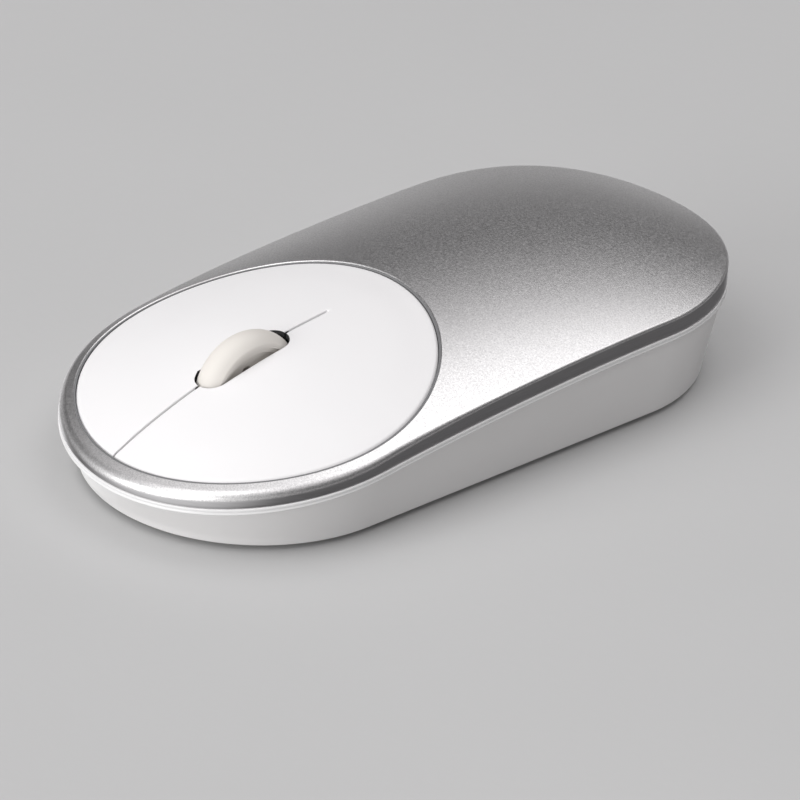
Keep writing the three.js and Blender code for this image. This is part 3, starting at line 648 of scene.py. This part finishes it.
def tub():
    """The tapered base with its rounded foot, door opening, windows and screw wells."""
    wall_foot = BASE_BOTTOM + 0.7
    foot = [(3.35 - 0.62 * math.sin(a), BASE_BOTTOM + 0.42 * (1 - math.cos(a)))
            for a in np.linspace(0, math.pi / 2 * 0.92, 7)]
    rings = [ring(outline(inset), z) for inset, z in foot]
    rim = lambda x, y: parting_height(y) - WALL_TOP_DROP
    wall = lambda share: ring(outline(2.72 - 2.22 * share),
                              lambda x, y: wall_foot + (rim(x, y) - wall_foot) * share)
    rings += [wall(share) for share in (0.0, 0.25, 0.5, 0.75, 0.992)]
    rings += [ring(outline(0.56), rim), ring(outline(1.6), rim), ring(outline(4.0), FLOOR_TOP)]
    piece = lofted("base_tub", rings)
    sunk = FLOOR_TOP - 0.5
    bosses = [shaft("boss", x, y, [(3.0, sunk), (3.0, 5.85), (2.85, 6.0)]) for x, y in CASE_SCREW_PLACES]
    bosses += [shaft("boss", x, y, [(2.2, sunk), (2.2, 4.05), (2.1, BOARD_BOTTOM - SEAT_GAP)])
               for x, y in BOARD_SCREW_PLACES]
    join(piece, *bosses)
    well = [(2.7, BASE_BOTTOM - 0.3), (2.45, BASE_BOTTOM), (2.2, BASE_BOTTOM + 0.25), (2.2, 2.6), (1.1, 2.6),
            (1.1, 7)]
    wells = [shaft("well", x, y, well) for x, y in CASE_SCREW_PLACES]
    wells += [shaft("bore", x, y, [(0.85, 2.4), (0.85, 5)]) for x, y in BOARD_SCREW_PLACES]
    x, y = UNDERSIDE_CONTROL_X, UNDERSIDE_CONTROL_Y
    door = lambda grow: rounded_rectangle(*DOOR, DOOR_CORNER, grow + 0.2)
    lens = lambda grow: rounded_rectangle(-4, 4, SENSOR_Y - 4.5, SENSOR_Y + 4.5, 2.5, grow)
    slide = lambda grow: rounded_rectangle(-x - 1.7, -x + 1.7, y - 3.5, y + 3.5, 0.8, grow)
    pair = lambda grow: circle(2.1 + grow, 48, (x, y))
    windows = [("door_room", door, 0.12), ("lens_room", lens, 0.7), ("slide_room", slide, 0.35),
               ("pair_room", pair, 0.3)]
    cut(piece, *wells, *[floor_window(*window) for window in windows])
    return dress(piece, "housing", WALL_WHITE, ["base_shell"])


def door_panel():
    """The door over the cells, with a ridged thumb hollow at its latch end."""
    plan_of = lambda grow: rounded_rectangle(*DOOR, DOOR_CORNER, grow)
    levels = [(-0.2, BASE_BOTTOM), (-0.06, BASE_BOTTOM + 0.06), (0, BASE_BOTTOM + 0.2),
              (0, FLOOR_TOP - 0.12), (-0.12, FLOOR_TOP)]
    panel = lofted("door_panel", [ring(plan_of(grow), height) for grow, height in levels])
    middle = DOOR[3] - 4.9
    ball, depth = 6.0, 0.6
    bowl = [(ball * math.sin(a), BASE_BOTTOM + depth - ball * (1 - math.cos(a)))
            for a in np.linspace(0.02, 1.5, 24)]
    hollow = shaft("hollow", 0, 0, bowl, 64)
    for vertex in hollow.data.vertices:
        vertex.co.y = middle * MM + vertex.co.y / 2
    cut(panel, hollow)
    ridges = [block("ridge", (-1.5, 1.5), (middle + step - 0.16, middle + step + 0.16),
                    (BASE_BOTTOM + 0.12, BASE_BOTTOM + depth + 0.3), 0.1) for step in (-0.6, 0.2)]
    join(panel, *ridges)
    return dress(panel, "door", WALL_WHITE, ["battery_door"])


def crescent(end, inner, outer, half_angle, grow):
    """Plan of a curved foot with round corners: a rounded strip bent round the centre of the body's end."""
    reach = (inner + outer) / 2
    half = half_angle * reach
    strip = split_long_sides(rounded_rectangle(-half, half, inner, outer, 1.2, grow))
    turn = end * math.pi / 2 + strip[:, 0] / reach
    return np.column_stack([strip[:, 1] * np.cos(turn), end * END_CENTRE + strip[:, 1] * np.sin(turn)])


def glide_foot(name, node, **shape):
    levels = [(-0.3, 0.0), (-0.08, 0.05), (0, 0.2), (0, BASE_BOTTOM - SEAT_GAP)]
    piece = lofted(name, [ring(crescent(grow=grow, **shape), height) for grow, height in levels])
    return dress(piece, "housing", GLIDE, [node], 50)


# ---------------------------------------------------------------- wheel
TYRE_LOW, TYRE_HIGH = (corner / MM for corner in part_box("wheel_tyre"))
WHEEL_RADIUS = (TYRE_HIGH.z - TYRE_LOW.z) / 2
WHEEL_CENTRE = tuple((TYRE_LOW + TYRE_HIGH) / 2)


def tyre():
    bore = 6.9
    half = TYRE_HIGH.x
    edge = 0.35
    running = wheel_profile(WHEEL_RADIUS, half - 0.15, TYRE_CROWN)
    side_radius = running[0][0]
    profile = [(bore, -half), (side_radius - edge, -half), (side_radius - 0.1, -half + 0.05), *running,
               (side_radius - 0.1, half - 0.05), (side_radius - edge, half), (bore, half), (bore, -half)]
    piece = turned("wheel_tread", profile, WHEEL_CENTRE, "X", 128)
    return dress(piece, "wheel", TYRE_RUBBER, ["wheel_tyre"], 50)


def hub():
    """Hub disc with a recess on each side, light windows and a boss, and the steel axle through it."""
    half = [(1.05, -3.2), (1.2, -3.3), (2.05, -3.3), (2.2, -3.15), (2.2, -2.0), (2.3, -1.9), (6.1, -1.9),
            (6.2, -2.0), (6.2, -2.12), (6.28, -2.2), (6.8, -2.2)]
    mirrored = [(radius, -place) for radius, place in reversed(half)]
    piece = turned("wheel_core", [*half, *mirrored, half[0]], WHEEL_CENTRE, "X", 96)
    windows = []
    for turn in (np.arange(8) + 0.5) * math.pi / 4:
        centre = (0, WHEEL_CENTRE[1] + 4 * math.cos(turn), WHEEL_CENTRE[2] + 4 * math.sin(turn))
        window = [(1.1, -2.1), (0.75, -1.75), (0.75, 1.75), (1.1, 2.1)]
        windows.append(turned("window", window, centre, "X", 24))
    cut(piece, *windows)
    dress(piece, "wheel", TYRE_RUBBER, ["wheel_hub"])
    pin = turned("axle_pin", [(0.8, -5.3), (1.0, -5.1), (1.0, 5.1), (0.8, 5.3)], WHEEL_CENTRE, "X", 32)
    dress(pin, "wheel", STEEL, ["wheel_axle"])


# ---------------------------------------------------------------- what is inside
def cell(name, node, x, flat_end, direction):
    """An AAA cell: sleeve, bare rims and raised terminal. direction is where the terminal points."""
    end = CELL_LENGTH - 1
    profile = [(0.3, 0), (3.6, 0), (3.7, 0.12), (4.75, 0.12), (4.95, 0.2), (4.98, 0.45),
               (CELL_RADIUS - 0.05, 0.5), (CELL_RADIUS, 0.62), (CELL_RADIUS, CELL_BAND_END),
               (CELL_RADIUS, end - 0.5), (CELL_RADIUS - 0.06, end - 0.35), (5.0, end - 0.3),
               (4.85, end - 0.05), (4.7, end), (4.2, end - 0.15), (2.4, end - 0.15), (2.2, end),
               (1.85, end + 0.1), (1.85, CELL_LENGTH - 0.15), (1.7, CELL_LENGTH), (0.3, CELL_LENGTH)]
    points = [(radius, direction * place) for radius, place in profile]
    piece = turned(name, points, (x, flat_end, CELL_Z), "Y", 72)
    dress(piece, "housing", CELL_WRAP, [node], 30)
    piece.data.materials.append(CELL_BAND)
    piece.data.materials.append(STEEL)
    for face in piece.data.polygons:
        middle = face.center / MM
        place = (middle.y - flat_end) * direction
        reach = math.hypot(middle.x - x, middle.z - CELL_Z)
        if reach < CELL_RADIUS - 0.15:
            face.material_index = 2
        elif place > CELL_BAND_END:
            face.material_index = 1
    return piece


def contact_spring(name, node, x, plate_y, direction):
    """A cone of round wire: most of a flat turn on the contact plate, then a rise to the cell."""
    wire, sides = 0.22, 12
    rising_turns = 2.5
    rings = []
    for turn in np.linspace(-0.8, rising_turns, 140):
        share = max(turn, 0) / rising_turns
        radius, rise = 3.3 - 1.7 * share, 0.3 + 1.65 * share
        angle = 2 * math.pi * turn
        outward = np.array([direction * math.cos(angle), 0, math.sin(angle)])
        middle = np.array([x, plate_y + direction * rise, CELL_Z]) + radius * outward
        around = np.linspace(0, 2 * math.pi, sides, endpoint=False)
        rings.append(middle + wire * (np.outer(np.cos(around), outward)
                                      + np.outer(np.sin(around), np.array([0, direction, 0]))))
    return dress(lofted(name, rings), "housing", STEEL, [node])


def screw(name, node, place, direction, head_radius, head_height, shank_radius, length):
    """A pan-head screw with a cross recess; direction is where the shank points, up 1 or down -1."""
    x, y, z = place
    low = head_radius * 0.82
    profile = [(0.2, 0), (low * 0.7, 0.02), (low, 0.12 * head_height),
               (head_radius * 0.96, 0.3 * head_height), (head_radius, 0.55 * head_height),
               (head_radius, head_height - 0.06), (head_radius - 0.06, head_height),
               (shank_radius, head_height), (shank_radius, length - 0.6), (shank_radius * 0.35, length)]
    piece = shaft(name, x, y, [(radius, z + direction * depth) for radius, depth in profile], 40)
    long, deep = head_radius * 0.55, head_height * 0.5
    depths = sorted((z - direction, z + direction * deep))
    for along, across in ((long, 0.25), (0.25, long)):
        cut(piece, block("recess", (x - along, x + along), (y - across, y + across), depths, 0.08))
    return dress(piece, "housing", STEEL, [node])


def screws():
    for index, (x, y) in enumerate(CASE_SCREW_PLACES, 1):
        screw(f"case_fastener_{index}", f"case_screw_{index}", (x, y, 1.3), 1, 2.0, 1.2, 0.8, 10)
    for index, (x, y) in enumerate(BOARD_SCREW_PLACES, 1):
        screw(f"board_fastener_{index}", f"board_screw_{index}", (x, y, BOARD_TOP + SEAT_GAP + 1), -1,
              1.7, 1.0, 0.7, 3.7)
    for side, name in ((-1, "left"), (1, "right")):
        place = (side * BRIDGE_SCREW_X, BRIDGE_SCREW_Y, DECK[0] - SEAT_GAP - 1.1)
        screw(f"bridge_fastener_{name}", f"bridge_screw_{name}", place, 1, 1.8, 1.1, 0.75, 5)


def optics():
    """The clear lens block over the sensor window, with its bulging lens."""
    plate = block("lens_block", (-5.5, 5.5), (SENSOR_Y - 5, SENSOR_Y + 5), (FLOOR_TOP + 0.1, 3.2), 0.25)
    tube = [(2.2, 3.0), (2.2, BOARD_BOTTOM - 0.25), (2.05, BOARD_BOTTOM - 0.1)]
    barrel = shaft("barrel", 0, SENSOR_Y, tube)
    bulge = shaft("bulge", 0, SENSOR_Y, [(1.4 * math.cos(a), 2.4 - 0.75 * math.sin(a))
                                         for a in np.linspace(-0.2, 1.5, 10)])
    dress(join(plate, barrel, bulge), "housing", CLEAR, ["sensor_lens"])


def board_parts():
    """The capacitor with its crimped sleeve and the quartz can beside it."""
    low = BOARD_TOP + SEAT_GAP
    sleeve = [(1.85, low), (1.98, low + 0.1), (1.98, low + 0.9), (1.8, low + 1.1), (1.98, low + 1.3),
              (2.0, 9.3), (1.85, 9.55), (1.5, 9.6), (1.4, 9.5)]
    can = shaft("capacitor_can", 14, 22, sleeve)
    dress(can, "housing", DARK_PLASTIC, ["capacitor"])
    can.data.materials.append(STEEL)
    for face in can.data.polygons:
        if face.normal.z > 0.5 and face.center.z > 9.4 * MM:
            face.material_index = 1
    plan_of = lambda grow: rounded_rectangle(-16, -12, 26.5, 29.5, 1, grow)
    levels = [(0, low), (0, low + 0.2), (-0.05, low + 0.25), (-0.28, low + 0.27), (-0.28, 6.4),
              (-0.36, 6.54), (-0.5, 6.6)]
    quartz = lofted("quartz_can", [ring(plan_of(grow), height) for grow, height in levels])
    dress(quartz, "housing", STEEL, ["crystal"])


def underside_controls():
    """The dished pairing button and the grooved knob of the power switch."""
    x, y = UNDERSIDE_CONTROL_X, UNDERSIDE_CONTROL_Y
    cap = [(0.2, 1.16), (1.0, 1.12), (1.5, 1.02), (1.7, 1.0), (1.84, 1.05), (1.9, 1.2), (1.9, 2.1),
           (2.5, 2.1), (2.6, 2.2), (2.6, 2.5), (2.5, 2.6), (0.8, 2.6), (0.8, 3.2), (0.7, 3.3)]
    dress(shaft("pair_cap", x, y, cap), "pair_key", INNER_WHITE, ["pair_button"])
    y += 1.4
    knob = block("slide_grip", (-x - 1.4, -x + 1.4), (y - 1.7, y + 1.7), (1.0, 2.5), 0.2)
    join(knob, block("slide_plate", (-x - 2.1, -x + 2.1), (y - 2.6, y + 2.6), (FLOOR_TOP + 0.1, 2.9), 0.12))
    cut(knob, *[block("groove", (-x - 2, -x + 2), (y + step - 0.16, y + step + 0.16), (0.5, 1.25), 0.1)
                for step in (-1.0, -0.33, 0.33, 1.0)])
    dress(knob, "power_knob", DARK_PLASTIC, ["power_switch_knob"])


def middle_plunger():
    profile = [(1.6, 7.4), (1.7, 7.5), (1.7, 8.6), (1.62, 8.76), (1.4, 8.85), (0.3, 8.85)]
    piece = shaft("middle_button_cap", 0, MIDDLE_SWITCH_Y, profile)
    dress(piece, "middle_plunger", DARK_PLASTIC, ["middle_switch_plunger"])


def kept_nodes():
    """Material and rounded edges for the frame's own pieces that stay."""
    looks = [(BOARD, 0.08, ["circuit_board"]),
             (DARK_PLASTIC, 0.15, ["sensor_chip", "radio_chip", "left_switch_body", "right_switch_body",
                                   "middle_switch_body", "wheel_bracket", "wheel_mount", "wheel_detector",
                                   "pair_switch"]),
             (INNER_WHITE, 0.18, ["left_switch_plunger", "right_switch_plunger", "battery_bay"]),
             (STEEL, 0.08, ["power_switch_body", "contact_front_left", "contact_front_right",
                            "contact_rear"]),
             (CLEAR, 0.12, ["wheel_emitter"])]
    for look, width, names in looks:
        for name in names:
            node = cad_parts[name]
            node.data.materials.clear()
            node.data.materials.append(look)
            soften(node, width)


cover()
key_plates()
# Grey ring in the plate gap as painted shade
painted_gap_shade()
lip()
tub()
door_panel()
glide_foot("front_glide", "front_foot", end=1, inner=18, outer=22.5, half_angle=0.75)
glide_foot("rear_glide", "rear_foot", end=-1, inner=20.8, outer=23.8, half_angle=0.6)
tyre()
hub()
cell("cell_left", "battery_left", -CELL_X, BAY_FRONT - CELL_LENGTH, 1)
cell("cell_right", "battery_right", CELL_X, BAY_REAR + CELL_LENGTH, -1)
contact_spring("spring_coil_front", "spring_front", CELL_X, BAY_FRONT, -1)
contact_spring("spring_coil_rear", "spring_rear", -CELL_X, BAY_REAR, 1)
screws()
optics()
board_parts()
underside_controls()
middle_plunger()
kept_nodes()


# ---------------------------------------------------------------- stage
def toward(azimuth, elevation):
    """Direction from the mouse, angles in degrees. Azimuth 0 is at -Y and 90 at +X."""
    a, e = math.radians(azimuth), math.radians(elevation)
    return Vector((math.sin(a) * math.cos(e), -math.cos(a) * math.cos(e), math.sin(e)))


def area_light(name, azimuth, elevation, distance, size, power):
    """A soft panel that faces the mouse."""
    place = toward(azimuth, elevation)
    data = bpy.data.lights.new(name, "AREA")
    data.shape = "RECTANGLE"
    data.size, data.size_y = size
    data.energy = power
    lamp = bpy.data.objects.new(name, data)
    lamp.location = place * distance
    lamp.rotation_euler = place.to_track_quat("Z", "Y").to_euler()
    bpy.context.scene.collection.objects.link(lamp)


def world_light():
    """Plain soft surroundings: brighter overhead and in front, darker low down at the sides and behind."""
    world = bpy.data.worlds.new("soft_room")
    bpy.context.scene.world = world
    world.use_nodes = True
    nodes, links = world.node_tree.nodes, world.node_tree.links
    nodes.clear()
    place = nodes.new("ShaderNodeTexCoord")
    split = nodes.new("ShaderNodeSeparateXYZ")
    links.new(place.outputs["Generated"], split.inputs["Vector"])
    height = nodes.new("ShaderNodeValToRGB")
    ramp = height.color_ramp
    ramp.interpolation = "EASE"
    stops = [(0.0, 0.06), (0.3, 0.13), (0.46, 0.13), (0.5, 0.58), (0.55, 0.36), (0.6, 0.17), (0.66, 0.06),
             (0.77, 0.09), (0.83, 0.29), (0.88, 0.7), (0.93, 0.95), (1.0, 0.95)]
    while len(ramp.elements) < len(stops):
        ramp.elements.new(0.5)
    for element, (position, value) in zip(ramp.elements, stops):
        element.position = position
        element.color = (value, value * 0.985, value * 0.995, 1)
    rise = nodes.new("ShaderNodeMapRange")
    rise.inputs["From Min"].default_value = -1
    links.new(split.outputs["Z"], rise.inputs["Value"])
    links.new(rise.outputs["Result"], height.inputs["Fac"])

    def swell(axis, start, end, value):
        """A soft step along one axis of the surroundings, from 0 to value."""
        step = nodes.new("ShaderNodeMapRange")
        step.interpolation_type = "SMOOTHSTEP"
        step.inputs["From Min"].default_value = start
        step.inputs["From Max"].default_value = end
        step.inputs["To Max"].default_value = value
        links.new(split.outputs[axis], step.inputs["Value"])
        return step.outputs["Result"]

    def mixed(first, second, how):
        mix = nodes.new("ShaderNodeMix")
        mix.data_type = "RGBA"
        mix.blend_type = how
        mix.inputs["Factor"].default_value = 1
        links.new(first, mix.inputs["A"])
        links.new(second, mix.inputs["B"])
        return mix.outputs["Result"]

    depth = mixed(swell("Z", 0.08, -0.05, 0.5), swell("Z", -0.05, -0.4, 0.6), "ADD")
    behind = mixed(swell("X", 0.35, 0.65, 1.0), swell("Y", 0.2, -0.3, 1.0), "MULTIPLY")
    low_right = mixed(depth, behind, "MULTIPLY")
    total = mixed(mixed(height.outputs["Color"], swell("Y", 0.35, 0.95, 0.7), "ADD"), low_right, "ADD")
    shade = nodes.new("ShaderNodeBackground")
    output = nodes.new("ShaderNodeOutputWorld")
    links.new(total, shade.inputs["Color"])
    links.new(shade.outputs["Background"], output.inputs["Surface"])


def pale_floor():
    half = 3.0
    mesh = bpy.data.meshes.new("floor")
    corners = [(-half, -half, 0), (half, -half, 0), (half, half, 0), (-half, half, 0)]
    mesh.from_pydata(corners, [], [(0, 1, 2, 3)])
    floor = bpy.data.objects.new("floor", mesh)
    bpy.context.scene.collection.objects.link(floor)
    floor.data.materials.append(surface("floor_paper", [(0.56, 0.56, 0.56), (0.58, 0.58, 0.58)],
                                        (0.6, 0.7), (600, 0.00002), mottle=8))
    floor.visible_glossy = False


def camera():
    """The viewing angle: from the button end's left, a little above, through a long lens."""
    distance = 0.5814
    roll = math.radians(2.87)
    back = toward(-132.38, 28.86)
    level = Vector((0, 0, 1)).cross(back).normalized()
    above = back.cross(level)
    right = level * math.cos(roll) + above * math.sin(roll)
    up = above * math.cos(roll) - level * math.sin(roll)
    place = Vector((0, 0, 0.010)) + back * distance + right * -0.00018 + up * -0.00795
    data = bpy.data.cameras.new("camera")
    data.lens = 180
    data.sensor_width = 36
    data.clip_start = 0.01
    eye = bpy.data.objects.new("camera", data)
    bpy.context.scene.collection.objects.link(eye)
    eye.matrix_world = Matrix.Translation(place) @ Matrix((right, up, back)).transposed().to_4x4()
    bpy.context.scene.camera = eye


camera()
pale_floor()
world_light()
area_light("overhead", -8, 66, 0.9, (0.6, 0.6), 1.35)
area_light("front_high", 176, 56, 1.0, (0.6, 0.6), 1.6)
area_light("front", 174, 14, 1.0, (0.7, 0.3), 4.0)
bpy.context.scene.view_settings.view_transform = "Standard"
